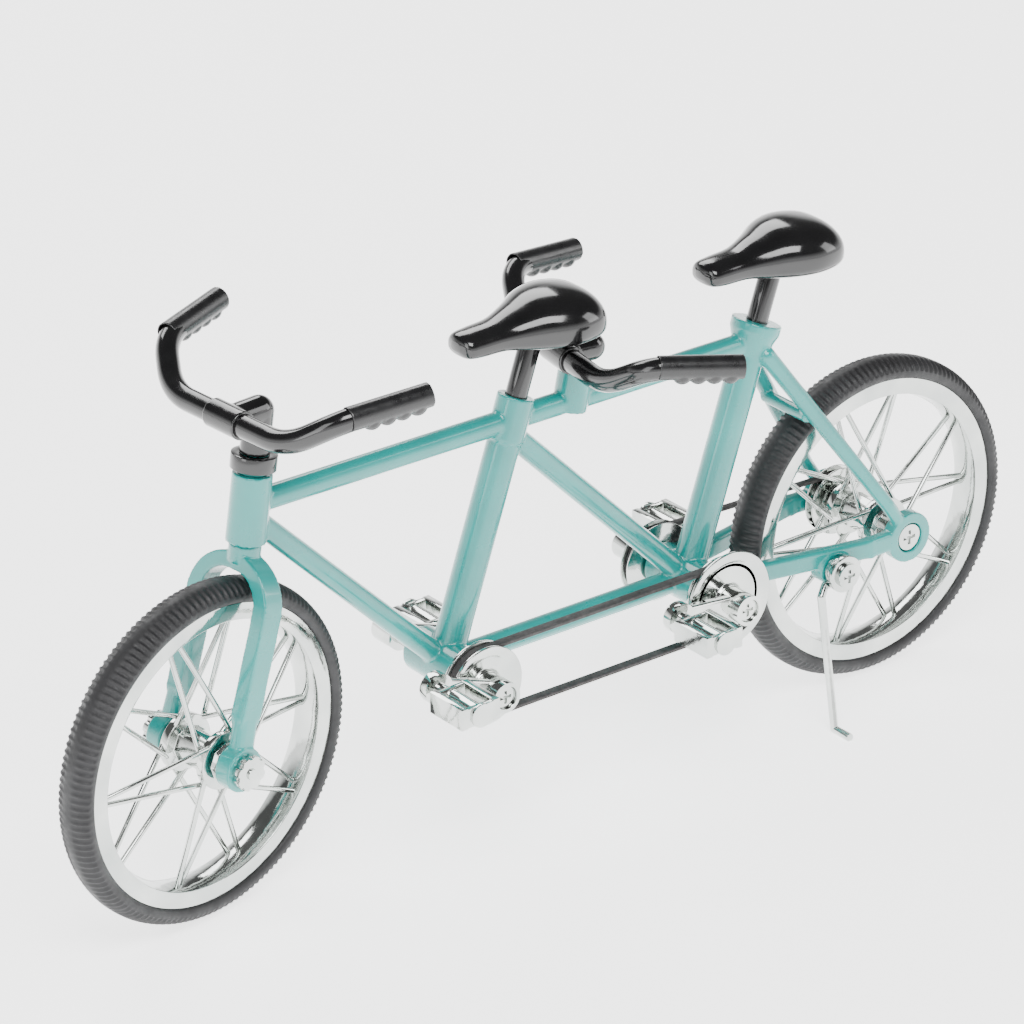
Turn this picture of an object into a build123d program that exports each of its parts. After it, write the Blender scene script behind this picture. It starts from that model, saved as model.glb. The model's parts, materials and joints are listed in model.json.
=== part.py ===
from build123d import *
import math
import os

os.makedirs("parts", exist_ok=True)

# Miniature tandem bicycle, about one tenth of full size.
# Millimetres: +X is forward, +Y is the bicycle's left, +Z is up.
# The origin is on the ground, on the middle plane, about midway between the wheel axles.

# Fits
run = 0.05  # radial clearance of a shaft that turns in its hole
gap = 0.3  # clearance between faces that move past each other
belt_gap = 0.1  # clearance between a belt and its pulleys

# Layout
front_axle_x = 79.1
rear_axle_x = -78.5
axle_z = 33.0
bb_z = 33.3
front_bb_x = 24.3
rear_bb_x = -33.2
top_tube_z = 78.1
seat_lean = 19.1
head_lean = 8.6
head_x = 68.1  # head axis at head_z
head_z = 70.0
head_tube_low_z = 71.0
rest_steer = 9.0  # how far the fork and front wheel stand turned to the left
bar_steer = 5.6  # how far the front stem and handlebar stand turned to the left
rear_bar_turn = -9.3  # how far the rear handlebar stands turned in its socket

# Wheels
tyre_r = 33.0
tyre_seat_r = 29.3
tyre_half = 3.9
tread_half = 1.2
rim_inner_r = 26.05
rim_ridge_r = 25.3
rim_half = 3.2
spoke_r = 0.42
spoke_pairs = 5
spoke_spread = 50.0
spoke_step = 0.95  # spacing across the hub between two spokes that cross
hub_half = 6.8
hub_r = 3.6
flange_r = 5.5
flange_y = 4.8
flange_thick = 1.8
axle_r = 1.0

# Frame
main_tube_r = 2.25
seat_tube_r = 3.2
collar_r = 3.55
collar_low_z = 74.5
collar_top_z = 82.5
funnel_r = 4.9
funnel_low_z = 76.0
funnel_lip_z = 80.3
funnel_top_z = 82.0
head_tube_r = 3.7
head_tube_top_z = 84.0
bb_shell_r = 4.5
bb_shell_half = 7.2
socket_x = -5.5  # socket axis at socket_z
socket_z = 79.0
socket_lean = 12.0
socket_r = 3.3
socket_low_z = 76.3
socket_top_z = 84.0
stay_width = 2.6
stay_height = 4.0
stay_bend_x = -69.0
dropout_in = 10.6
dropout_out = 13.3
dropout_r = 5.1
dropout_recess_r = 3.0
dropout_recess = 1.4
bridge_x = -57.7
bridge_z = 62.2
bridge_r = 1.3

# Fork and front end
leg_y = 8.4
leg_wide = 3.3
leg_deep = 4.5
leg_bend_x = 76.5
leg_bend_z = 42.0
leg_foot_y = 9.1
fork_lean = 16.7
arch_inner = 25.1
arch_outer = 28.2
steerer_r = 2.6
ring_r = 4.25
ring_low_z = 84.8
ring_top_z = 87.6
foot_r = 4.2
foot_in = 7.3
foot_out = 10.8
nut_r = 3.3
nut_thick = 1.8
quill_r = 2.75
stem_r = 2.8
stem_z = 95.5
stem_back_x = 61.5
front_sleeve_x = 71.3
sleeve_r = 2.7
sleeve_half = 4.1
bar_r = 2.0
grip_r = 2.25
grip_len = 15.0

# Rear handlebar
rear_quill_r = 2.2
rear_stem_r = 2.7
rear_stem_back_x = -12.4
rear_stem_z = 87.9
rear_turn_x = -6.5  # line that the rear handlebar is drawn turned about
rear_sleeve_x = -3.6
rear_sleeve_r = 2.7

# Saddles and posts
post_r = 2.1
post_grip = 14.0
saddle_low_z = 92.0
rear_saddle_shift = -57.0
rear_saddle_drop = 0.9

# Cranks, pulleys and belts
crank_axle_r = 1.6
crank_len = 14.0
front_crank_rise = 20.0
rear_crank_rise = 6.0
arm_in = 14.0
arm_out = 16.0
boss_in = 13.3
boss_out = 19.0
boss_r = 3.0
crank_screw_r = 2.2
crank_axle_half = 17.4
belt_thick = 0.7
timing_belt_r = 7.3
timing_in = 10.3
timing_out = 12.5
timing_flange = 0.7
front_flange_r = 7.9
rear_flange_r = 9.8
chainring_belt_r = 7.1
sprocket_belt_r = 5.9
drive_in = 8.25
drive_out = 9.85
drive_flange = 0.35
chainring_flange_r = 8.0
sprocket_flange_r = 6.9

# Pedals
pin_r = 0.8
pin_end = 27.0
pedal_in = 18.9
pedal_out = 28.5
pedal_long = 8.5
pedal_high = 4.1
pedal_plate = 1.0
pedal_bar = 1.4
pedal_barrel_r = 1.6
dust_cap_r = 2.3
dust_cap = 0.6

# Kickstand
lug_x = -60.8
lug_z = 31.0
lug_r = 3.4
lug_in = 8.0
lug_out = 11.6
wire_r = 0.8
stand_screw_r = 1.2
stand_head_r = 2.5
cup_r = 3.7
cup_thick = 1.1
foot_z = 0.7
leg_x = -55.6


def rod(start, end, radius, end_radius=None):
    """Round bar between two points, tapered when a second radius is given."""
    start = Vector(*start)
    line = Vector(*end) - start
    plane = Plane(origin=start, z_dir=line)
    if end_radius is None:
        return Solid.make_cylinder(radius, line.length, plane)
    return Solid.make_cone(radius, end_radius, line.length, plane)


def across(x, z, radius, y_from, y_to):
    """Round bar parallel to Y."""
    return rod((x, y_from, z), (x, y_to, z), radius)


def ball(point, radius):
    return Pos(*point) * Sphere(radius)


def pipe(points, radius):
    """Round bar bent at each point."""
    pieces = [rod(a, b, radius) for a, b in zip(points, points[1:])]
    bends = [ball(p, radius) for p in points[1:-1]]
    return pieces[0] + (pieces[1:] + bends)


def strut(start, end, wide, deep, corner):
    """Bar of rounded rectangular section, wide towards Y, deep the other way."""
    start = Vector(*start)
    line = Vector(*end) - start
    along = line.normalized()
    side = Vector(0, 1, 0) - along * along.Y
    plane = Plane(origin=start, x_dir=side, z_dir=line)
    return extrude(plane * RectangleRounded(wide, deep, corner), line.length)


def turned(profile, x, z):
    """Solid turned about a Y axis through (x, z), from (radius, y) points."""
    points = [(x, y, z + radius) for radius, y in profile]
    face = Face(Wire.make_polygon(points, close=True))
    return revolve(face, Axis((x, 0, z), (0, 1, 0)))


def head_point(z):
    """Point on the head axis at height z."""
    return (head_x - (z - head_z) * math.tan(math.radians(head_lean)), 0, z)


def seat_point(bb_x, z):
    """Point on a seat tube's centre line at height z."""
    return (bb_x - (z - bb_z) * math.tan(math.radians(seat_lean)), 0, z)


def socket_point(z):
    """Point on the rear handlebar's socket axis at height z."""
    return (socket_x - (z - socket_z) * math.tan(math.radians(socket_lean)), 0, z)


def steered(shape, angle=rest_steer):
    head_line = Axis(head_point(head_z), Vector(*head_point(80)) - Vector(*head_point(70)))
    return shape.rotate(head_line, angle)


def bar_turned(shape):
    return shape.rotate(Axis((rear_turn_x, 0, 0), (0, 0, 1)), rear_bar_turn)


def right_of(shape):
    """The same shape on the other side of the middle plane."""
    return shape.mirror(Plane.XZ)


def cross_screw(x, z, y_face, head_r, head_thick, shank_r, shank_len, slot):
    """Cross-head screw driven in from the left, its head standing on y_face."""
    head = across(x, z, head_r, y_face, y_face + head_thick)
    shank = across(x, z, shank_r, y_face - shank_len, y_face)
    screw = head + shank
    for long_x, long_z in ((slot, slot / 4), (slot / 4, slot)):
        screw -= Pos(x, y_face + head_thick, z) * Box(long_x, head_thick, long_z)
    return screw


def save(name, *shapes):
    solids = [solid for shape in shapes for solid in shape.solids()]
    whole = solids[0] if len(solids) == 1 else Compound(solids)
    export_step(whole, "parts/" + name + ".step")


# Wheels
def tyre(x):
    return turned(
        [
            (tyre_seat_r, -rim_half),
            (tyre_seat_r, rim_half),
            (tyre_seat_r + 0.9, tyre_half),
            (tyre_r - 1.6, tyre_half - 0.1),
            (tyre_r - 0.5, 2.6),
            (tyre_r, tread_half),
            (tyre_r, -tread_half),
            (tyre_r - 0.5, -2.6),
            (tyre_r - 1.6, 0.1 - tyre_half),
            (tyre_seat_r + 0.9, -tyre_half),
        ],
        x,
        axle_z,
    )


def hoop(x):
    return turned(
        [
            (tyre_seat_r, -rim_half),
            (tyre_seat_r, rim_half),
            (rim_inner_r, rim_half),
            (rim_ridge_r, 0),
            (rim_inner_r, -rim_half),
        ],
        x,
        axle_z,
    )


def hub(x, left_end, right_end):
    """Hub with eight flats and two flanges; the ends are how far it reaches along Y."""
    barrel_plane = Plane(origin=(x, -hub_half, axle_z), x_dir=(1, 0, 0), z_dir=(0, 1, 0))
    barrel = extrude(barrel_plane * RegularPolygon(hub_r, 8), 2 * hub_half)
    pieces = [across(x, axle_z, hub_r - 0.4, right_end, left_end)]
    for side in (1, -1):
        middle = side * flange_y
        pieces.append(across(x, axle_z, flange_r, middle - flange_thick / 2, middle + flange_thick / 2))
    return (barrel + pieces) - across(x, axle_z, axle_r + run, right_end - 1, left_end + 1)


def spokes(x, ends):
    """Crossed pairs of spokes on both sides, cut where they meet the rim and the hub."""
    rods = []
    for side in (1, -1):
        for pair in range(spoke_pairs):
            base = 360 / spoke_pairs * (pair + (0.5 if side < 0 else 0))
            for lean in (1, -1):
                inner = math.radians(base + lean * spoke_spread)
                outer = math.radians(base + lean * 1.6)
                low_y = side * (flange_y + lean * spoke_step / 2)
                high_y = side * (1.1 + lean * 0.5)
                reach = rim_inner_r + 0.4
                start = (x + 5 * math.cos(inner), low_y, axle_z + 5 * math.sin(inner))
                end = (x + reach * math.cos(outer), high_y, axle_z + reach * math.sin(outer))
                spoke = rod(start, end, spoke_r) - ends
                rods.append(spoke.solids().sort_by(SortBy.VOLUME)[-1])
    return rods


rear_hub_end = dropout_in - gap
save("front_tyre", steered(tyre(front_axle_x)))
save("rear_tyre", tyre(rear_axle_x))
front_rim = [hoop(front_axle_x), hub(front_axle_x, hub_half, -hub_half)]
rear_rim = [hoop(rear_axle_x), hub(rear_axle_x, rear_hub_end, -hub_half)]
save("front_rim", *[steered(piece) for piece in front_rim])
save("front_spokes", *[steered(spoke) for spoke in spokes(front_axle_x, front_rim)])
save("rear_rim", *rear_rim)
save("rear_spokes", *spokes(rear_axle_x, rear_rim))


# Pulleys turn about Y; every radius below is measured from the pulley's own axle.
def pulley(x, z, hub_from, seat_r, in_y, out_y, inner_flange, outer_flange, flange, bore_r):
    profile = [
        (bore_r, hub_from),
        (bore_r + 1.0, hub_from),
        (bore_r + 1.0, in_y - flange),
        (inner_flange, in_y - flange),
        (inner_flange, in_y),
        (seat_r, in_y),
        (seat_r, out_y),
        (outer_flange, out_y),
        (outer_flange, out_y + flange),
        (outer_flange - 1.6, out_y + flange),
        (outer_flange - 2.4, out_y),
        (boss_r + 0.4, out_y),
        (boss_r, out_y + flange),
        (bore_r, out_y + flange),
    ]
    return turned(profile, x, z)


timing_seat_r = timing_belt_r - belt_thick - belt_gap
chainring_seat_r = chainring_belt_r - belt_thick - belt_gap
sprocket_seat_r = sprocket_belt_r - belt_thick - belt_gap
pulley_hub = bb_shell_half + gap


def timing_pulley(x, outer_flange):
    return pulley(
        x,
        bb_z,
        pulley_hub,
        timing_seat_r,
        timing_in,
        timing_out,
        front_flange_r,
        outer_flange,
        timing_flange,
        crank_axle_r,
    )


def flat_pulley(x, z, hub_from, seat_r, flange_radius, bore_r):
    """Narrow two-flanged pulley for the drive belt, drawn on the left side."""
    profile = [
        (bore_r, hub_from),
        (bore_r + 1.0, hub_from),
        (bore_r + 1.0, drive_in - drive_flange),
        (flange_radius, drive_in - drive_flange),
        (flange_radius, drive_in),
        (seat_r, drive_in),
        (seat_r, drive_out),
        (flange_radius, drive_out),
        (flange_radius, drive_out + drive_flange),
        (bore_r, drive_out + drive_flange),
    ]
    return turned(profile, x, z)


save("front_timing_pulley", timing_pulley(front_bb_x, front_flange_r))
save("rear_timing_pulley", timing_pulley(rear_bb_x, rear_flange_r))
chainring = flat_pulley(
    rear_bb_x, bb_z, pulley_hub, chainring_seat_r, chainring_flange_r, crank_axle_r
)
save("chainring", right_of(chainring))
sprocket = flat_pulley(
    rear_axle_x, axle_z, hub_half, sprocket_seat_r, sprocket_flange_r, axle_r + run
)
save("rear_sprocket", right_of(sprocket))


def belt_outline(ax, az, ar, bx, bz, br, y_from, y_to):
    """Everything inside a line stretched round two circles."""
    span = math.hypot(bx - ax, bz - az)
    heading = math.atan2(bz - az, bx - ax)
    lean = math.acos((ar - br) / span)
    corners = []
    for turn, order in ((lean, 1), (-lean, -1)):
        angle = heading + turn
        pair = [
            (ax + ar * math.cos(angle), y_from, az + ar * math.sin(angle)),
            (bx + br * math.cos(angle), y_from, bz + br * math.sin(angle)),
        ]
        corners += pair[::order]
    middle = extrude(Face(Wire.make_polygon(corners, close=True)), y_to - y_from, dir=(0, 1, 0))
    return middle + [across(ax, az, ar, y_from, y_to), across(bx, bz, br, y_from, y_to)]


def belt(ax, az, ar, bx, bz, br, y_from, y_to):
    outer = belt_outline(ax, az, ar, bx, bz, br, y_from, y_to)
    return outer - belt_outline(ax, az, ar - belt_thick, bx, bz, br - belt_thick, y_from, y_to)


timing_belt = belt(
    rear_bb_x,
    bb_z,
    timing_belt_r,
    front_bb_x,
    bb_z,
    timing_belt_r,
    timing_in + belt_gap,
    timing_out - belt_gap,
)
save("timing_belt", timing_belt)
drive_belt = belt(
    rear_bb_x,
    bb_z,
    chainring_belt_r,
    rear_axle_x,
    axle_z,
    sprocket_belt_r,
    -drive_out + belt_gap,
    -drive_in - belt_gap,
)
save("drive_belt", drive_belt)


# Bottom brackets and cranks
def bb_shell(x):
    shell = across(x, bb_z, bb_shell_r, -bb_shell_half, bb_shell_half)
    return shell - across(x, bb_z, crank_axle_r + run, -bb_shell_half, bb_shell_half)


def bb_solid(x):
    return across(x, bb_z, bb_shell_r, -bb_shell_half, bb_shell_half)


save("front_bb_shell", bb_shell(front_bb_x))
save("rear_bb_shell", bb_shell(rear_bb_x))

screw_shank = 4.0
screw_shank_r = 0.7


def crank_axle(x):
    axle = across(x, bb_z, crank_axle_r, -crank_axle_half, crank_axle_half)
    for side in (1, -1):
        end = side * crank_axle_half
        axle -= across(x, bb_z, screw_shank_r, end - side * screw_shank, end)
    return axle


def crank(x, end_x, end_z):
    """Left-hand crank with its pedal pin at (end_x, end_z)."""
    middle = (arm_in + arm_out) / 2
    line = Vector(end_x - x, 0, end_z - bb_z)
    plane = Plane(origin=(x, middle, bb_z), x_dir=(0, 1, 0), z_dir=line)
    arm = extrude(plane * RectangleRounded(arm_out - arm_in, 4.2, 0.7), crank_len)
    pieces = [
        across(end_x, end_z, boss_r, arm_in, arm_out),
        across(x, bb_z, boss_r, boss_in, boss_out),
        across(end_x, end_z, 1.4, arm_out, pedal_in - gap),
        across(end_x, end_z, pin_r, arm_out, pin_end),
    ]
    whole = arm + pieces
    whole -= across(x, bb_z, crank_axle_r, boss_in - 1, crank_axle_half)
    return whole - across(x, bb_z, crank_screw_r + 0.1, crank_axle_half, boss_out + 1)


def crank_screw(x):
    return cross_screw(x, bb_z, crank_axle_half, crank_screw_r, 1.1, screw_shank_r, screw_shank, 2.6)


def pedal(x, z):
    """Left-hand pedal, level."""
    length = pedal_out - pedal_in
    middle = (pedal_in + pedal_out) / 2
    barrel = across(x, z, pedal_barrel_r, pedal_in, pedal_out)
    pieces = [across(x, z, dust_cap_r, pedal_out, pedal_out + dust_cap)]
    for y in (pedal_in + pedal_plate / 2, pedal_out - pedal_plate / 2):
        pieces.append(Pos(x, y, z) * Box(pedal_long, pedal_plate, pedal_high - 0.4))
    for dx in (-1, 1):
        offset = dx * (pedal_long - pedal_bar) / 2
        pieces.append(Pos(x + offset, middle, z) * Box(pedal_bar, length, pedal_high))
    whole = barrel + pieces
    return whole - across(x, z, pin_r + run, pedal_in - 1, pin_end + gap)


crank_sets = (("front", front_bb_x, front_crank_rise), ("rear", rear_bb_x, rear_crank_rise))
for end, bb_x, rise in crank_sets:
    dx = crank_len * math.cos(math.radians(rise))
    dz = crank_len * math.sin(math.radians(rise))
    save(end + "_crank_axle", crank_axle(bb_x))
    save(end + "_left_crank", crank(bb_x, bb_x + dx, bb_z + dz))
    save(end + "_right_crank", right_of(crank(bb_x, bb_x - dx, bb_z - dz)))
    save(end + "_crank_screws", crank_screw(bb_x), right_of(crank_screw(bb_x)))
    save(end + "_left_pedal", pedal(bb_x + dx, bb_z + dz))
    save(end + "_right_pedal", right_of(pedal(bb_x - dx, bb_z - dz)))


# Frame: seat tubes, head tube and bottom brackets first, then the tubes that end on them
def seat_tube_body(bb_x, top_z):
    return rod(seat_point(bb_x, bb_z), seat_point(bb_x, top_z), seat_tube_r)


def post(bb_x, top_z, drop):
    return rod(seat_point(bb_x, top_z - post_grip), seat_point(bb_x, saddle_low_z + 2 - drop), post_r)


front_post = post(front_bb_x, collar_top_z, 0)
rear_post = post(rear_bb_x, funnel_top_z, rear_saddle_drop)
save("front_seat_post", front_post)
save("rear_seat_post", rear_post)

collar = rod(seat_point(front_bb_x, collar_low_z), seat_point(front_bb_x, collar_top_z), collar_r)
front_seat_solid = seat_tube_body(front_bb_x, collar_low_z + 1) + collar
front_seat_tube = front_seat_solid - [bb_solid(front_bb_x), front_post]
save("front_seat_tube", front_seat_tube)

flare_low = seat_point(rear_bb_x, funnel_low_z)
flare_lip = seat_point(rear_bb_x, funnel_lip_z)
flare = rod(flare_low, flare_lip, seat_tube_r, funnel_r)
lip = rod(flare_lip, seat_point(rear_bb_x, funnel_top_z), funnel_r)
rear_seat_solid = seat_tube_body(rear_bb_x, funnel_low_z) + [flare, lip]
save("rear_seat_tube", rear_seat_solid - [bb_solid(rear_bb_x), rear_post])

head_solid = rod(head_point(head_tube_low_z), head_point(head_tube_top_z), head_tube_r)
steerer = rod(head_point(head_z - 2.9), head_point(ring_top_z), steerer_r)
head_bore = rod(head_point(head_z - 1), head_point(head_tube_top_z + 1), steerer_r + run)
save("head_tube", head_solid - head_bore)

front_top_line = [head_point(top_tube_z), seat_point(front_bb_x, top_tube_z)]
front_top_tube = rod(*front_top_line, main_tube_r) - [head_solid, front_seat_solid]
save("front_top_tube", front_top_tube)

rear_top_line = [seat_point(front_bb_x, top_tube_z), seat_point(rear_bb_x, top_tube_z)]
rear_top_tube = rod(*rear_top_line, main_tube_r) - [front_seat_solid, rear_seat_solid]
save("rear_top_tube", rear_top_tube)

down_line = rod((front_bb_x, 0, bb_z), head_point(76.0), main_tube_r - 0.1)
down_tube = down_line - [head_solid, bb_solid(front_bb_x), front_top_tube, front_seat_solid]
save("down_tube", down_tube.solids().sort_by(SortBy.VOLUME)[-1])

boom = rod((rear_bb_x, 0, bb_z), (front_bb_x, 0, bb_z), main_tube_r)
boom -= [bb_solid(rear_bb_x), bb_solid(front_bb_x), front_seat_solid, rear_seat_solid, down_line]
boom = boom.solids().sort_by(SortBy.VOLUME)[-1]
save("boom_tube", boom)

diagonal = rod(seat_point(front_bb_x, 76.0), (rear_bb_x, 0, bb_z), main_tube_r)
diagonal -= [front_seat_solid, bb_solid(rear_bb_x), rear_seat_solid, rear_top_tube, boom]
save("diagonal_tube", diagonal.solids().sort_by(SortBy.VOLUME)[-1])

rear_quill_low = top_tube_z + main_tube_r + 0.4
socket = rod(socket_point(socket_low_z), socket_point(socket_top_z), socket_r)
socket -= rod(socket_point(rear_quill_low - gap), socket_point(socket_top_z + 1), rear_quill_r + run)
save("bar_socket", socket - rear_top_tube)

# Rear triangle, drawn on the left side
stay_y = dropout_in + stay_width / 2 + 0.15
chain_low = (rear_bb_x, 4.6, bb_z)
chain_bend = (stay_bend_x, stay_y, bb_z)
chain_end = (rear_axle_x + 1.5, stay_y, bb_z)
chainstay = strut(chain_low, chain_bend, stay_width, stay_height, 0.8)
stay_low = bb_z - stay_height / 2
bend_round = Pos(stay_bend_x, stay_y, bb_z) * Cylinder(stay_width / 2, stay_height)
dropout = across(rear_axle_x, axle_z, dropout_r, dropout_in, dropout_out)
chainstay += [strut(chain_bend, chain_end, stay_width, stay_height, 0.8), bend_round, dropout]
chainstay -= [
    across(rear_axle_x, axle_z, dropout_recess_r, dropout_out - dropout_recess, dropout_out + 1),
    across(rear_axle_x, axle_z, axle_r, dropout_in - 1, dropout_out + 1),
    bb_solid(rear_bb_x),
    rear_seat_solid,
    boom,
]
eye_r = stand_screw_r + run + 2 * wire_r
lug = across(lug_x, lug_z, lug_r, lug_in, lug_out)
left_chainstay = (chainstay + lug) - [
    across(lug_x, lug_z, stand_screw_r, lug_in - 1, lug_out + 1),
    across(lug_x, lug_z, eye_r + gap, lug_out, lug_out + 3),
]
save("left_chainstay", left_chainstay)
save("right_chainstay", right_of(chainstay))

stay_top = (-49.6, 3.5, 76.0)
stay_turn = (-73.5, stay_y, 41.0)
stay_foot = (-76.3, stay_y, 36.8)
seat_stay = rod(stay_top, stay_turn, 1.8, 1.4)
seat_stay += [ball(stay_turn, 1.4), rod(stay_turn, stay_foot, 1.4), ball(stay_top, 1.8)]
seat_stay -= [rear_seat_solid, chainstay, across(rear_axle_x, axle_z, dropout_r, 5, 20)]
seat_stay = seat_stay.solids().sort_by(SortBy.VOLUME)[-1]
save("left_seat_stay", seat_stay)
save("right_seat_stay", right_of(seat_stay))
bridge_reach = 3.5 + (stay_y - 3.5) * (stay_top[0] - bridge_x) / (stay_top[0] - stay_turn[0])
bridge = across(bridge_x, bridge_z, bridge_r, -bridge_reach, bridge_reach)
save("stay_bridge", bridge - [seat_stay, right_of(seat_stay)])

# Rear axle and its screws
rear_axle_end = dropout_out - dropout_recess
rear_axle = across(rear_axle_x, axle_z, axle_r, -rear_axle_end, rear_axle_end)
for side in (1, -1):
    end = side * rear_axle_end
    rear_axle -= across(rear_axle_x, axle_z, 0.5, end - side * screw_shank, end)
save("rear_axle", rear_axle)
rear_screw = cross_screw(rear_axle_x, axle_z, rear_axle_end, 2.65, 1.1, 0.5, screw_shank, 3.0)
save("rear_axle_screws", rear_screw, right_of(rear_screw))

# Fork
fork_tilt = math.radians(fork_lean)
fork_plane = Plane(
    origin=(leg_bend_x, 0, leg_bend_z),
    x_dir=(0, 1, 0),
    z_dir=(math.cos(fork_tilt), 0, math.sin(fork_tilt)),
)
leg_out = leg_y + leg_wide / 2
leg_in = leg_y - leg_wide / 2
outer = Pos(0, arch_outer / 2) * Rectangle(2 * leg_out, arch_outer)
outer = fillet(outer.vertices().sort_by(Axis.Y)[-2:], leg_out - 0.4)
inner = Pos(0, (arch_inner - 4) / 2) * Rectangle(2 * leg_in, arch_inner + 4)
inner = fillet(inner.vertices().sort_by(Axis.Y)[-2:], leg_in - 0.9)
fork = extrude(fork_plane * (outer - inner), leg_deep / 2, both=True)
leg_joint = (leg_bend_x, leg_y, leg_bend_z)
leg_foot = (front_axle_x, leg_foot_y, axle_z)
low_leg = strut(leg_joint, leg_foot, leg_wide, leg_deep, 1.3)
foot = across(front_axle_x, axle_z, foot_r, foot_in, foot_out)
knee = across(leg_bend_x, leg_bend_z, leg_deep / 2 + 0.05, leg_in + 0.1, leg_out - 0.1)
race = rod(head_point(head_z - 2.4), head_point(head_tube_low_z - gap), head_tube_r - 0.7)
fork += [low_leg, right_of(low_leg), foot, right_of(foot), knee, right_of(knee), steerer, race]
fork -= across(front_axle_x, axle_z, axle_r, -foot_out - 1, foot_out + 1)
spigot_r = 1.4
spigot = rod(head_point(ring_top_z - 8), head_point(ring_top_z), spigot_r)
save("fork", steered(fork - spigot))

headset_ring = rod(head_point(ring_low_z), head_point(ring_top_z), ring_r) - steerer
save("headset_ring", steered(headset_ring))

nut = across(front_axle_x, axle_z, nut_r, foot_out, foot_out + nut_thick)
for lobe in range(8):
    angle = math.radians(45 * lobe)
    groove_x = front_axle_x + (nut_r + 0.3) * math.cos(angle)
    groove_z = axle_z + (nut_r + 0.3) * math.sin(angle)
    nut -= across(groove_x, groove_z, 0.7, foot_out - 1, foot_out + nut_thick + 1)
nut -= across(front_axle_x, axle_z, axle_r, foot_out - 1, foot_out + nut_thick + 1)
save("front_axle_nuts", steered(nut), steered(right_of(nut)))
front_axle_end = foot_out + nut_thick + 0.3
front_axle = across(front_axle_x, axle_z, axle_r, -front_axle_end, front_axle_end)
save("front_axle", steered(front_axle))

# Front handlebar
front_bar_line = [
    (50.2, 27.95, 103.35),
    (65.4, 24.2, 102.1),
    (front_sleeve_x, 15.4, 96.0),
    (front_sleeve_x, -15.4, 96.0),
    (65.4, -24.2, 102.1),
    (50.2, -27.95, 103.35),
]
front_bar = pipe(front_bar_line, bar_r)
save("front_bar", steered(front_bar, bar_steer))


def grip(end, before, bar):
    """Grip over a bar's end, with finger bumps underneath."""
    end = Vector(*end)
    back = (Vector(*before) - end).normalized()
    sleeve = rod(tuple(end - back), tuple(end + back * grip_len), grip_r)
    bumps = [ball(tuple(end + back * (1.5 + 3 * i) - Vector(0, 0, 1.3)), 1.9) for i in range(4)]
    return (sleeve + bumps) - bar


front_left_grip = grip(front_bar_line[0], front_bar_line[1], front_bar)
front_right_grip = right_of(front_left_grip)
save("front_grips", steered(front_left_grip, bar_steer), steered(front_right_grip, bar_steer))

stem_quill = rod(head_point(ring_top_z), head_point(stem_z), quill_r)
stem_back = (stem_back_x + stem_r, 0, stem_z)
stem = stem_quill + [
    spigot,
    ball(stem_back, stem_r),
    rod(stem_back, (front_sleeve_x, 0, stem_z), stem_r),
    across(front_sleeve_x, stem_z + 0.5, sleeve_r, -sleeve_half, sleeve_half),
]
save("stem", steered(stem - front_bar, bar_steer))

# Rear handlebar
rear_bar_line = [
    (-22.8, 31.2, 93.0),
    (-7.4, 27.0, 94.4),
    (rear_sleeve_x, 16.0, 87.7),
    (rear_sleeve_x, -16.0, 87.7),
    (-7.4, -27.0, 94.4),
    (-22.8, -31.2, 93.0),
]
rear_bar = pipe(rear_bar_line, bar_r)
save("rear_bar", bar_turned(rear_bar))
rear_left_grip = grip(rear_bar_line[0], rear_bar_line[1], rear_bar)
save("rear_grips", bar_turned(rear_left_grip), bar_turned(right_of(rear_left_grip)))
rear_stem_back = (rear_stem_back_x + rear_stem_r, 0, rear_stem_z)
rear_head = rod(rear_stem_back, (rear_sleeve_x, 0, rear_stem_z), rear_stem_r) + [
    ball(rear_stem_back, rear_stem_r),
    across(rear_sleeve_x, rear_stem_z - 0.2, rear_sleeve_r, -sleeve_half, sleeve_half),
]
rear_quill = rod(socket_point(rear_quill_low), socket_point(rear_stem_z), rear_quill_r)
save("rear_stem", (bar_turned(rear_head) + rear_quill) - bar_turned(rear_bar))

# Saddles: rounded sections along X, each (x, half width, underside z, top z)
saddle_sections = [
    (-9.0, 5.0, 94.0, 98.0),
    (-8.0, 7.6, 92.8, 100.0),
    (-5.0, 9.6, 92.1, 101.6),
    (-1.0, 10.0, 92.0, 102.0),
    (3.0, 8.8, 92.0, 101.6),
    (7.5, 6.4, 92.4, 100.2),
    (12.0, 4.6, 93.2, 98.8),
    (17.0, 3.8, 93.8, 98.4),
    (20.0, 3.3, 94.0, 98.0),
    (21.0, 2.2, 94.6, 97.3),
]


def saddle_section(x, half, low, high):
    plane = Plane(origin=(x, 0, (low + high) / 2), x_dir=(0, 1, 0), z_dir=(1, 0, 0))
    return plane * RectangleRounded(2 * half, high - low, 0.42 * (high - low))


saddle = loft([saddle_section(*section) for section in saddle_sections])
save("front_saddle", saddle - front_post)
rear_saddle = Pos(rear_saddle_shift, 0, -rear_saddle_drop) * saddle
save("rear_saddle", rear_saddle - rear_post)

# Kickstand
eye_in = lug_out + gap
eye_out = eye_in + 2 * wire_r
eye_mid = (eye_in + eye_out) / 2
eye = across(lug_x, lug_z, eye_r, eye_in, eye_out)
wire = pipe(
    [
        (lug_x, eye_mid, lug_z - eye_r + wire_r),
        (-57.2, eye_mid + 0.1, lug_z - eye_r + wire_r),
        (leg_x, 13.7, 27.4),
        (leg_x, 18.4, foot_z),
        (leg_x, 23.0, foot_z),
    ],
    wire_r,
)
kickstand = (eye + wire) - across(lug_x, lug_z, stand_screw_r + run, lug_in, eye_out + 1)
kickstand -= Pos(leg_x, 20, -2) * Box(20, 20, 4)
save("kickstand", kickstand)
cup_face = eye_out + gap
cup = across(lug_x, lug_z, cup_r, cup_face, cup_face + cup_thick)
cup -= across(lug_x, lug_z, stand_screw_r, cup_face - 1, cup_face + cup_thick + 1)
save("kickstand_cup", cup)
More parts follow.
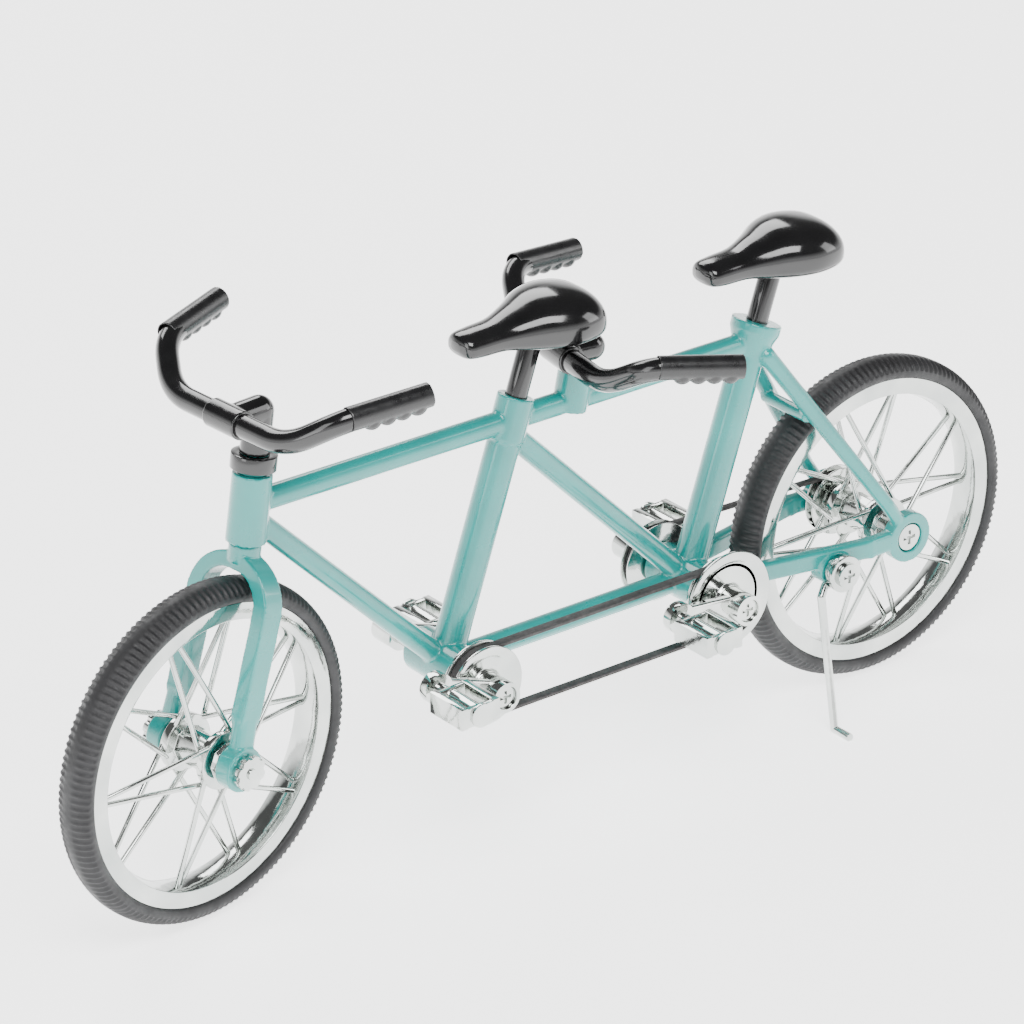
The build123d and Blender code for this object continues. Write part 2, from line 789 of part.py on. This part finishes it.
stand_screw = cross_screw(
    lug_x,
    lug_z,
    cup_face + cup_thick,
    stand_head_r,
    1.0,
    stand_screw_r,
    cup_face + cup_thick - lug_in - 0.5,
    2.8,
)
save("kickstand_screw", stand_screw)
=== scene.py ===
import json
import math

import bmesh
import bpy
from mathutils import Matrix, Vector


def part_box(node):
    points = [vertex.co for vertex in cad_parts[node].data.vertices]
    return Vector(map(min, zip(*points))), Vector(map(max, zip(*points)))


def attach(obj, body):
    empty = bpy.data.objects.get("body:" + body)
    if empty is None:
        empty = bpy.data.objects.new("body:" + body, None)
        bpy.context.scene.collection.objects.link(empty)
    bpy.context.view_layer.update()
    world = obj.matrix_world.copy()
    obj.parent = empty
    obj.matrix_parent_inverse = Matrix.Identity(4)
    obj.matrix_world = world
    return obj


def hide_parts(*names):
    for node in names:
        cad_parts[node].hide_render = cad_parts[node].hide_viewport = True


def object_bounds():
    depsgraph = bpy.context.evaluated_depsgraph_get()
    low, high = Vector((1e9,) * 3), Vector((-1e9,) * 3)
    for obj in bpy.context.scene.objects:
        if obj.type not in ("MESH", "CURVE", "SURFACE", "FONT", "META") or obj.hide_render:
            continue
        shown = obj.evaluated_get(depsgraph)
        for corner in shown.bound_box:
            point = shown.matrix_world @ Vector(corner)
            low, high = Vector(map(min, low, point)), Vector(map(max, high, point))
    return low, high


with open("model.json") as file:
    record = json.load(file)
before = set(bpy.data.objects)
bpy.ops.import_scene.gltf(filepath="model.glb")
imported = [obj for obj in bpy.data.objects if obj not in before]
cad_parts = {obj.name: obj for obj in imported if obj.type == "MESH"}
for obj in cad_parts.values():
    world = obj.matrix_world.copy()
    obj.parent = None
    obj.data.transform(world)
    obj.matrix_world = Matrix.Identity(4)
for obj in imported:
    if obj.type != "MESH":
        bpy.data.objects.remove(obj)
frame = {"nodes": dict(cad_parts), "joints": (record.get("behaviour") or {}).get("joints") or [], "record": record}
cad_low, cad_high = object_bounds()

MM = 0.001
nodes = frame["nodes"]
record = frame["record"]
joints = {joint["name"]: joint for joint in frame["joints"]}
body_of_node = {n: body for body, members in record["behaviour"]["bodies"].items() for n in members}
slot_of_node = {part["node"]: part["material_slot"] for part in record["subparts"]}


def in_scene(name, data):
    """A new object with this data, linked to the scene."""
    thing = bpy.data.objects.new(name, data)
    bpy.context.scene.collection.objects.link(thing)
    return thing


# Camera
CAMERA_PLACE = (0.5456, 0.7047, 0.4808)
CAMERA_RIGHT = Vector((-0.79341, 0.60865, -0.00643))
CAMERA_DOWN = Vector((0.26613, 0.33738, -0.90297))
CAMERA_FORWARD = Vector((-0.54742, -0.71813, -0.42966))
LENS = 186.9

camera = in_scene("camera", bpy.data.cameras.new("camera"))
turn = Matrix((CAMERA_RIGHT, -CAMERA_DOWN, -CAMERA_FORWARD)).transposed().to_4x4()
camera.matrix_world = Matrix.Translation(CAMERA_PLACE) @ turn
camera.data.lens = LENS
camera.data.sensor_width = 36.0
camera.data.clip_start = 0.01
camera.data.clip_end = 20.0
bpy.context.scene.camera = camera

# Materials. A colour or a roughness spreads over this stretch of its noise's values
NOISE_LOW = 0.3
NOISE_HIGH = 0.7


class Nodes:
    """A material's node tree, with short ways to add to it."""

    def __init__(self, name):
        self.material = bpy.data.materials.new(name)
        self.material.use_nodes = True
        self.tree = self.material.node_tree
        self.shader = self.tree.nodes["Principled BSDF"]
        self.place = self.tree.nodes.new("ShaderNodeTexCoord").outputs["Object"]

    def set(self, **values):
        for name, value in values.items():
            self.shader.inputs[name.replace("_", " ")].default_value = value

    def link(self, a, b):
        self.tree.links.new(a, b)

    def noise(self, scale, detail=3.0, roughness=0.55):
        node = self.tree.nodes.new("ShaderNodeTexNoise")
        node.inputs["Scale"].default_value = scale
        node.inputs["Detail"].default_value = detail
        node.inputs["Roughness"].default_value = roughness
        self.link(self.place, node.inputs["Vector"])
        return node.outputs["Fac"]

    def ramp(self, value, low, high):
        node = self.tree.nodes.new("ShaderNodeValToRGB")
        node.color_ramp.elements[0].position = NOISE_LOW
        node.color_ramp.elements[1].position = NOISE_HIGH
        node.color_ramp.elements[0].color = (*low, 1)
        node.color_ramp.elements[1].color = (*high, 1)
        self.link(value, node.inputs["Fac"])
        return node.outputs["Color"]

    def spread(self, value, low, high):
        node = self.tree.nodes.new("ShaderNodeMapRange")
        node.inputs["From Min"].default_value = NOISE_LOW
        node.inputs["From Max"].default_value = NOISE_HIGH
        node.inputs["To Min"].default_value = low
        node.inputs["To Max"].default_value = high
        self.link(value, node.inputs["Value"])
        return node.outputs["Result"]

    def bump(self, *layers):
        """Layers are (height, distance in metres), each laid over the one before."""
        normal = None
        for height, distance in layers:
            node = self.tree.nodes.new("ShaderNodeBump")
            node.inputs["Strength"].default_value = 1.0
            node.inputs["Distance"].default_value = distance
            self.link(height, node.inputs["Height"])
            if normal is not None:
                self.link(normal, node.inputs["Normal"])
            normal = node.outputs["Normal"]
        self.link(normal, self.shader.inputs["Normal"])


def enamel():
    """Thick teal enamel over a casting: slight orange peel and slow changes of depth."""
    n = Nodes("teal_enamel")
    n.set(Coat_Weight=0.9, Coat_Roughness=0.08, Specular_IOR_Level=0.5)
    colour = n.ramp(n.noise(60.0), (0.0, 0.215, 0.2), (0.0, 0.285, 0.262))
    n.link(colour, n.shader.inputs["Base Color"])
    n.link(n.spread(n.noise(220.0), 0.24, 0.38), n.shader.inputs["Roughness"])
    n.bump((n.noise(110.0, 1.0), 0.00007), (n.noise(900.0, 2.0), 0.000008))
    return n.material


def plating():
    """Bright plating over moulded plastic: soft ripples and faint hazy patches."""
    n = Nodes("bright_plating")
    n.set(Metallic=1.0)
    colour = n.ramp(n.noise(90.0), (0.46, 0.49, 0.475), (0.66, 0.68, 0.655))
    n.link(colour, n.shader.inputs["Base Color"])
    n.link(n.spread(n.noise(300.0), 0.05, 0.16), n.shader.inputs["Roughness"])
    n.bump((n.noise(180.0, 2.0), 0.00011), (n.noise(1100.0, 2.0), 0.000012))
    return n.material


def black_enamel():
    n = Nodes("black_enamel")
    n.set(Coat_Weight=0.5, Coat_Roughness=0.08)
    colour = n.ramp(n.noise(120.0), (0.003, 0.003, 0.0033), (0.007, 0.007, 0.0075))
    n.link(colour, n.shader.inputs["Base Color"])
    n.link(n.spread(n.noise(260.0), 0.1, 0.2), n.shader.inputs["Roughness"])
    n.bump((n.noise(150.0, 1.0), 0.00008), (n.noise(900.0, 2.0), 0.000006))
    return n.material


def grip_plastic():
    n = Nodes("grip_plastic")
    colour = n.ramp(n.noise(200.0), (0.004, 0.004, 0.0045), (0.01, 0.01, 0.011))
    n.link(colour, n.shader.inputs["Base Color"])
    n.set(Coat_Weight=0.3, Coat_Roughness=0.2)
    n.link(n.spread(n.noise(500.0), 0.24, 0.4), n.shader.inputs["Roughness"])
    n.bump((n.noise(2600.0, 4.0), 0.00002))
    return n.material


def tyre_rubber():
    n = Nodes("tyre_rubber")
    colour = n.ramp(n.noise(150.0, 5.0), (0.005, 0.005, 0.0058), (0.014, 0.014, 0.0155))
    n.link(colour, n.shader.inputs["Base Color"])
    n.link(n.spread(n.noise(420.0, 4.0), 0.45, 0.66), n.shader.inputs["Roughness"])
    n.bump((n.noise(500.0, 3.0), 0.00004), (n.noise(3200.0, 4.0), 0.00003))
    return n.material


def belt_rubber():
    """Dull band with fine mottling and dust."""
    n = Nodes("belt_rubber")
    colour = n.ramp(n.noise(700.0, 5.0, 0.7), (0.015, 0.014, 0.0145), (0.055, 0.05, 0.05))
    n.link(colour, n.shader.inputs["Base Color"])
    n.link(n.spread(n.noise(900.0), 0.55, 0.8), n.shader.inputs["Roughness"])
    n.bump((n.noise(1500.0, 4.0), 0.00006))
    return n.material


finishes = {
    "frame_paint": enamel(),
    "chrome": plating(),
    "tyre": tyre_rubber(),
    "black_gloss": black_enamel(),
    "grip": grip_plastic(),
    "belt": belt_rubber(),
}
for name, node in nodes.items():
    node.data.materials.clear()
    node.data.materials.append(finishes[slot_of_node[name]])


# Pieces made from the frame's shapes
WELD = 1e-7


def add_piece(name, mesh, body, slot):
    """A finished piece with its slot's material, riding on a body."""
    mesh.materials.clear()
    mesh.materials.append(finishes[slot])
    piece = in_scene(name, mesh)
    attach(piece, body)
    return piece


def stand_for(names, piece_name, mesh):
    """A piece that replaces these nodes, on the first one's body and with its finish."""
    piece = add_piece(piece_name, mesh, body_of_node[names[0]], slot_of_node[names[0]])
    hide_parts(*names)


def gathered(names):
    """One mesh object with copies of these nodes' solids."""
    whole = bmesh.new()
    for name in names:
        whole.from_mesh(nodes[name].data)
    bmesh.ops.remove_doubles(whole, verts=whole.verts, dist=WELD)
    mesh = bpy.data.meshes.new("work")
    whole.to_mesh(mesh)
    whole.free()
    return in_scene("work", mesh)


def settled(work):
    """The object's mesh with its modifiers applied; the object itself is removed."""
    graph = bpy.context.evaluated_depsgraph_get()
    mesh = bpy.data.meshes.new_from_object(work.evaluated_get(graph))
    bpy.data.objects.remove(work)
    mesh.shade_smooth()
    return mesh


def cast(name, names, voxel, passes):
    """Nodes run together as one casting, with the soft inner corners that a mould leaves."""
    work = gathered(names)
    remesh = work.modifiers.new("remesh", "REMESH")
    remesh.mode = "VOXEL"
    remesh.voxel_size = voxel * MM
    soften = work.modifiers.new("soften", "SMOOTH")
    soften.factor = 0.5
    soften.iterations = passes
    stand_for(names, name, settled(work))


EDGE_ANGLE = 32.0
CREASE_ANGLE = 50


def eased(name, width, segments=2, thicken=0.0):
    """A machined or moulded node with its edges rounded over, and thickened all round if asked."""
    work = gathered([name])
    if thicken:
        swell = work.modifiers.new("swell", "DISPLACE")
        swell.strength = thicken * MM
        swell.mid_level = 0.0
    bevel = work.modifiers.new("bevel", "BEVEL")
    bevel.width = width * MM
    bevel.segments = segments
    bevel.limit_method = "ANGLE"
    bevel.angle_limit = math.radians(EDGE_ANGLE)
    bevel.use_clamp_overlap = True
    bevel.harden_normals = False
    mesh = settled(work)
    mesh.set_sharp_from_angle(angle=math.radians(CREASE_ANGLE))
    stand_for([name], name + "_eased", mesh)


# Castings: name, nodes, voxel size in millimetres, smoothing passes
FRAME_NODES = [n for n, slot in slot_of_node.items() if slot == "frame_paint" and n != "fork"]
CASTINGS = (
    ("frame_casting", FRAME_NODES, 0.26, 5),
    ("fork_casting", ["fork"], 0.22, 4),
    ("stem_casting", ["stem"], 0.2, 5),
    ("rear_stem_casting", ["rear_stem"], 0.2, 5),
    ("front_grips_sleeves", ["front_grips"], 0.16, 2),
    ("rear_grips_sleeves", ["rear_grips"], 0.16, 2),
)
for casting in CASTINGS:
    cast(*casting)

# How far edges are rounded over, in millimetres
SMALL_EDGE = 0.12
RIM_EDGE = 0.18
PULLEY_EDGE = 0.14
SPOKE_EDGE = 0.05
CRANK_EDGE = 0.3
PEDAL_EDGE = 0.25
KICKSTAND_EDGE = 0.1
BELT_EDGE = 0.12
SPOKE_THICKEN = 0.12  # millimetres added to the radius of the CAD spokes, for looks only
SMALL = (
    "headset_ring",
    "front_seat_post",
    "rear_seat_post",
    "front_axle",
    "front_axle_nuts",
    "rear_axle",
    "rear_axle_screws",
    "front_crank_axle",
    "rear_crank_axle",
    "front_crank_screws",
    "rear_crank_screws",
    "kickstand_cup",
    "kickstand_screw",
    "rear_sprocket",
    "chainring",
)
for name in SMALL:
    eased(name, SMALL_EDGE)
for end in ("front", "rear"):
    eased(end + "_rim", RIM_EDGE)
    eased(end + "_timing_pulley", PULLEY_EDGE)
    eased(end + "_spokes", SPOKE_EDGE, thicken=SPOKE_THICKEN)
    for side in ("left", "right"):
        eased(f"{end}_{side}_crank", CRANK_EDGE, segments=3)
        eased(f"{end}_{side}_pedal", PEDAL_EDGE, segments=3)
eased("kickstand", KICKSTAND_EDGE)
eased("timing_belt", BELT_EDGE)
eased("drive_belt", BELT_EDGE)


# Handlebars: one bent tube each, drawn straight ahead in millimetres and turned as they stand
BAR_RADIUS = 2.18  # a little over the CAD bars' 2.0, for looks only
BEND_RADIUS = 5.0
BEND_SHARE = 0.45
BEND_STEPS = 10
FRONT_BAR_HALF = ((50.2, 27.95, 103.35), (65.4, 24.2, 102.1), (71.3, 15.4, 96.0))
REAR_BAR_HALF = ((-22.8, 31.2, 93.0), (-7.4, 27.0, 94.4), (-3.6, 16.0, 87.7))
FRONT_BAR_TURN = 5.6
REAR_BAR_TURN = -9.3
REAR_TURN_X = -6.5


def turned_about(point, axis, degrees):
    there = Matrix.Translation(point)
    return there @ Matrix.Rotation(math.radians(degrees), 4, axis) @ there.inverted()


def rounded(points):
    """The path with each inner corner replaced by a smooth bend."""
    path = [points[0]]
    for before, corner, after in zip(points, points[1:], points[2:]):
        back, on = before - corner, after - corner
        reach = min(BEND_RADIUS, BEND_SHARE * back.length, BEND_SHARE * on.length)
        start = corner + back.normalized() * reach
        end = corner + on.normalized() * reach
        for i in range(BEND_STEPS + 1):
            t = i / BEND_STEPS
            path.append((1 - t) ** 2 * start + 2 * t * (1 - t) * corner + t * t * end)
    path.append(points[-1])
    return path


def bar_tube(node, half, turning):
    left = [Vector(point) for point in half]
    right = [Vector((x, -y, z)) for x, y, z in reversed(half)]
    path = [turning @ (point * MM) for point in rounded(left + right)]
    curve = bpy.data.curves.new("work", "CURVE")
    curve.dimensions = "3D"
    curve.bevel_depth = BAR_RADIUS * MM
    curve.bevel_resolution = 8
    curve.use_fill_caps = True
    spline = curve.splines.new("POLY")
    spline.points.add(len(path) - 1)
    for point, place in zip(spline.points, path):
        point.co = (*place, 1)
    stand_for([node], node + "_tube", settled(in_scene("work", curve)))


steering = joints["steering_turn"]
front_turning = turned_about(steering["pos_m"], Vector(steering["axis"]), FRONT_BAR_TURN)
rear_turning = turned_about((REAR_TURN_X * MM, 0, 0), Vector((0, 0, 1)), REAR_BAR_TURN)
bar_tube("front_bar", FRONT_BAR_HALF, front_turning)
bar_tube("rear_bar", REAR_BAR_HALF, rear_turning)


# Shapes skinned over rings of points
def skin(shape, ring, following):
    """Faces between two rings, each closed on itself."""
    for i in range(len(ring)):
        j = (i + 1) % len(ring)
        shape.faces.new((ring[i], ring[j], following[j], following[i]))


def skinned_mesh(shape, name):
    bmesh.ops.recalc_face_normals(shape, faces=shape.faces)
    mesh = bpy.data.meshes.new(name)
    shape.to_mesh(mesh)
    shape.free()
    mesh.shade_smooth()
    return mesh


# Saddles: each section is (place along the length, half width, underside, top) in millimetres.
# SADDLE_BACK and SADDLE_FLOOR are the places in those sections that meet the node's box.
SADDLE_BACK = 9.0
SADDLE_FLOOR = 92.0
SADDLE_SECTIONS = (
    (-8.95, 3.2, 94.8, 97.2),
    (-8.6, 6.0, 93.6, 99.0),
    (-7.4, 8.2, 92.8, 100.4),
    (-5.0, 9.5, 92.2, 101.4),
    (-1.0, 9.9, 92.05, 101.9),
    (3.0, 8.7, 92.1, 101.5),
    (7.5, 6.2, 92.5, 100.1),
    (12.0, 4.5, 93.3, 98.8),
    (17.0, 4.1, 93.4, 98.4),
    (19.4, 3.8, 93.6, 98.1),
    (20.4, 3.0, 94.0, 97.6),
    (20.95, 1.3, 95.0, 96.8),
)
SECTION_POINTS = 48
RINGS_BETWEEN = 6
WAIST_SHARE = 0.42  # how high between underside and top the saddle is widest
SIDE_POWER = 0.86  # powers under 1 make a section fuller than an ellipse
TOP_POWER = 0.95
UNDERSIDE_POWER = 0.62


def between(rows, i, t):
    """Catmull-Rom value between row i and the next."""
    a, b, c, d = (rows[min(max(k, 0), len(rows) - 1)] for k in (i - 1, i, i + 1, i + 2))
    return tuple(
        0.5 * (2 * q + (w - p) * t + (2 * p - 5 * q + 4 * w - z) * t * t + (3 * q - p - 3 * w + z) * t**3)
        for p, q, w, z in zip(a, b, c, d)
    )


def saddle_ring(shape, shift, x, half, floor, top):
    waist = floor + WAIST_SHARE * (top - floor)
    ring = []
    for step in range(SECTION_POINTS):
        angle = 2 * math.pi * step / SECTION_POINTS
        c, s = math.cos(angle), math.sin(angle)
        y = half * math.copysign(abs(c) ** SIDE_POWER, c)
        reach, power = (top - waist, TOP_POWER) if s > 0 else (waist - floor, UNDERSIDE_POWER)
        z = waist + reach * math.copysign(abs(s) ** power, s)
        ring.append(shape.verts.new(shift + Vector((x, y, z)) * MM))
    return ring


def saddle_shell(node):
    low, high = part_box(node)
    shift = Vector((low.x + SADDLE_BACK * MM, (low.y + high.y) / 2, low.z - SADDLE_FLOOR * MM))
    shape = bmesh.new()
    rings = []
    last = len(SADDLE_SECTIONS) - 1
    for i in range(last):
        count = RINGS_BETWEEN + (1 if i == last - 1 else 0)
        for k in range(count):
            rings.append(saddle_ring(shape, shift, *between(SADDLE_SECTIONS, i, k / RINGS_BETWEEN)))
    for ring, following in zip(rings, rings[1:]):
        skin(shape, ring, following)
    shape.faces.new(rings[0])
    shape.faces.new(rings[-1])
    stand_for([node], node + "_shell", skinned_mesh(shape, node + "_shell"))


saddle_shell("front_saddle")
saddle_shell("rear_saddle")

# Tyres: smooth side bands and crown, with fine cross ribs over both shoulders.
# Each point is (radius, distance to the side, how deeply it is ribbed) in millimetres.
TYRE_RIBS = 150
STEPS_PER_RIB = 6
RIB_DEPTH = 0.26
RIB_SIDE_SHARE = 0.6
RIB_POWER = 0.7
RIB_CREASE_ANGLE = 60
TYRE_SEAT = 29.32
TYRE_PROFILE = (
    (TYRE_SEAT, -3.2, 0.0),
    (29.6, -3.55, 0.0),
    (30.2, -3.86, 0.0),
    (30.9, -3.88, 0.0),
    (31.15, -3.84, 0.6),
    (31.4, -3.76, 1.0),
    (31.75, -3.5, 1.0),
    (32.1, -3.1, 1.0),
    (32.45, -2.55, 1.0),
    (32.7, -1.95, 1.0),
    (32.86, -1.4, 0.7),
    (32.95, -0.9, 0.0),
    (32.99, 0.0, 0.0),
)


def tyre(node, joint_name):
    """Ribbed tyre turned about the wheel's own axle."""
    joint = joints[joint_name]
    centre = Vector(joint["pos_m"])
    axle = Vector(joint["axis"]).normalized()
    up = (Vector((0, 0, 1)) - axle * axle.z).normalized()
    ahead = up.cross(axle).normalized()
    mirrored = [(r, -y, d) for r, y, d in reversed(TYRE_PROFILE[:-1])]
    section = list(TYRE_PROFILE) + mirrored + [(TYRE_SEAT, 0.0, 0.0)]
    steps = TYRE_RIBS * STEPS_PER_RIB
    shape = bmesh.new()
    rings = []
    for step in range(steps):
        angle = 2 * math.pi * step / steps
        wave = max(0.0, math.cos(2 * math.pi * step / STEPS_PER_RIB)) ** RIB_POWER
        out = ahead * math.cos(angle) + up * math.sin(angle)
        ring = []
        for radius, y, ribbed in section:
            cut = RIB_DEPTH * ribbed * (1 - wave)
            side = y - math.copysign(cut * RIB_SIDE_SHARE, y) if ribbed else y
            ring.append(shape.verts.new(centre + (out * (radius - cut) + axle * side) * MM))
        rings.append(ring)
    for ring, following in zip(rings, rings[1:] + rings[:1]):
        skin(shape, ring, following)
    mesh = skinned_mesh(shape, node + "_ribbed")
    mesh.set_sharp_from_angle(angle=math.radians(RIB_CREASE_ANGLE))
    stand_for([node], node + "_ribbed", mesh)


tyre("front_tyre", "front_wheel_spin")
tyre("rear_tyre", "rear_wheel_spin")

# Studio floor: it glows a little, so that it renders as a pale, nearly even background
FLOOR_SIZE = 12.0
FLOOR_DROP = 0.0002
FLOOR_GLOW = 2.4

floor_white = Nodes("floor_white")
floor_white.set(Roughness=1.0, Base_Color=(0.9, 0.9, 0.9, 1), Specular_IOR_Level=0.0)
floor_white.set(Emission_Color=(1, 1, 1, 1), Emission_Strength=FLOOR_GLOW)

grid = bmesh.new()
bmesh.ops.create_grid(grid, x_segments=2, y_segments=2, size=FLOOR_SIZE / 2)
floor_mesh = bpy.data.meshes.new("floor")
grid.to_mesh(floor_mesh)
grid.free()
floor_mesh.materials.append(floor_white.material)
floor = in_scene("floor", floor_mesh)
floor.location = (0, 0, -FLOOR_DROP)

# Soft lamps aimed at the bicycle: name, place and size in metres, power in watts
LAMPS = (
    ("key", (0.35, 0.55, 1.0), (0.7, 0.5), 13.0),
    ("left_fill", (-0.9, 0.7, 0.6), (0.5, 0.7), 5.0),
    ("front_fill", (1.0, 0.1, 0.5), (0.4, 0.7), 3.5),
    ("back", (-0.2, -0.9, 0.8), (0.9, 0.4), 8.0),
)
middle = (cad_low + cad_high) / 2
for name, place, size, power in LAMPS:
    light = bpy.data.lights.new(name, "AREA")
    light.shape = "RECTANGLE"
    light.size, light.size_y = size
    light.energy = power
    lamp = in_scene(name, light)
    lamp.location = place
    lamp.rotation_euler = (middle - Vector(place)).to_track_quat("-Z", "Y").to_euler()

# World: bright round the horizon, as studio walls are, and dim above
WALLS_END = 0.12
CEILING_START = 0.4
WALL_LIGHT = (2.2, 2.2, 2.2, 1)
CEILING_LIGHT = (0.14, 0.14, 0.14, 1)

world = bpy.data.worlds.new("studio")
world.use_nodes = True
tree = world.node_tree
direction = tree.nodes.new("ShaderNodeTexCoord").outputs["Generated"]
height = tree.nodes.new("ShaderNodeSeparateXYZ")
walls = tree.nodes.new("ShaderNodeValToRGB")
walls.color_ramp.elements[0].position = WALLS_END
walls.color_ramp.elements[0].color = WALL_LIGHT
walls.color_ramp.elements[1].position = CEILING_START
walls.color_ramp.elements[1].color = CEILING_LIGHT
tree.links.new(direction, height.inputs["Vector"])
tree.links.new(height.outputs["Z"], walls.inputs["Fac"])
tree.links.new(walls.outputs["Color"], tree.nodes["Background"].inputs["Color"])
bpy.context.scene.world = world
